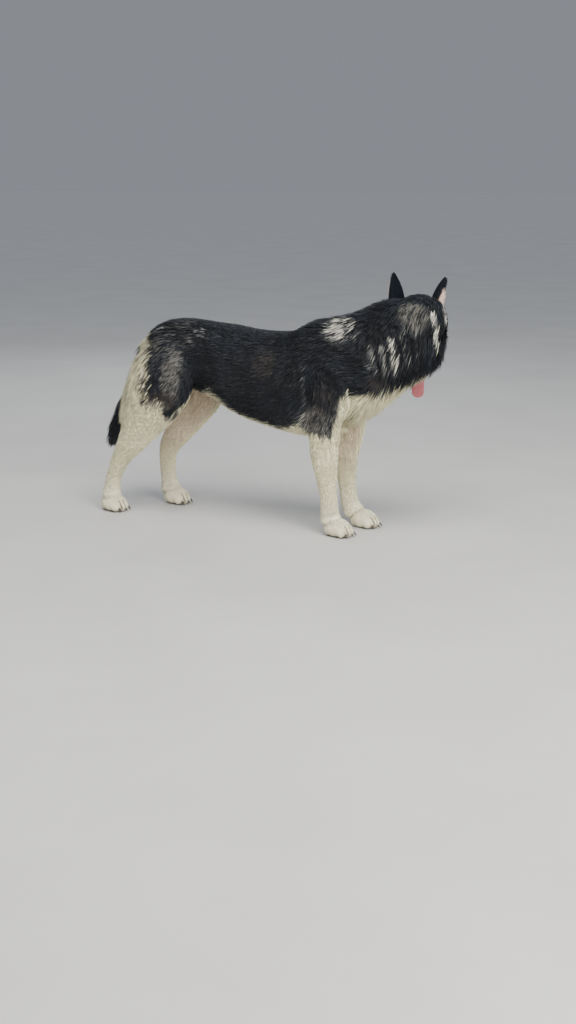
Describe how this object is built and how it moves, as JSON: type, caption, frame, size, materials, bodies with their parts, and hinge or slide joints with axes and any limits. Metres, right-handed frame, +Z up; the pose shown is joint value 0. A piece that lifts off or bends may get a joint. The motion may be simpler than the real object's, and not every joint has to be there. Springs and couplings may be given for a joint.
{
  "type": "siberian husky",
  "caption": "Still life-size standing dog with pricked ears, ruff, bushy hanging tail and its head turned back, mouth open.",
  "frame": {"origin": "on the floor, under the middle of the box round the whole dog", "axes": "+X the way the body faces, +Y to the dog's left, +Z up"},
  "size_m": [0.935, 0.3684, 0.6413],
  "materials": {
    "black_coat": "dense dark guard hair over grey undercoat, soft satin",
    "cream_coat": "short cream fur, soft and matte",
    "face_coat": "very short grey and cream fur",
    "claw": "dark horn, worn satin",
    "nose": "black pebbled skin, moist",
    "tongue": "wet pink flesh",
    "eye": "clear wet cornea over a brown iris"
  },
  "bodies": {
    "root": {"ear_left": "black_coat", "ear_right": "black_coat", "eye_left": "eye", "eye_right": "eye", "foreleg_left_claw_1": "claw", "foreleg_left_claw_2": "claw", "foreleg_left_claw_3": "claw", "foreleg_left_claw_4": "claw", "foreleg_left_lower": "cream_coat", "foreleg_left_pastern": "cream_coat", "foreleg_left_paw": "cream_coat", "foreleg_left_upper": "black_coat", "foreleg_right_claw_1": "claw", "foreleg_right_claw_2": "claw", "foreleg_right_claw_3": "claw", "foreleg_right_claw_4": "claw", "foreleg_right_lower": "cream_coat", "foreleg_right_pastern": "cream_coat", "foreleg_right_paw": "cream_coat", "foreleg_right_upper": "black_coat", "head": "face_coat", "hindleg_left_claw_1": "claw", "hindleg_left_claw_2": "claw", "hindleg_left_claw_3": "claw", "hindleg_left_claw_4": "claw", "hindleg_left_hock": "cream_coat", "hindleg_left_lower": "cream_coat", "hindleg_left_paw": "cream_coat", "hindleg_left_upper": "black_coat", "hindleg_right_claw_1": "claw", "hindleg_right_claw_2": "claw", "hindleg_right_claw_3": "claw", "hindleg_right_claw_4": "claw", "hindleg_right_hock": "cream_coat", "hindleg_right_lower": "cream_coat", "hindleg_right_paw": "cream_coat", "hindleg_right_upper": "black_coat", "jaw": "face_coat", "neck": "black_coat", "nose": "nose", "tail": "black_coat", "tongue": "tongue", "torso": "black_coat"}
  },
  "joints": []
}
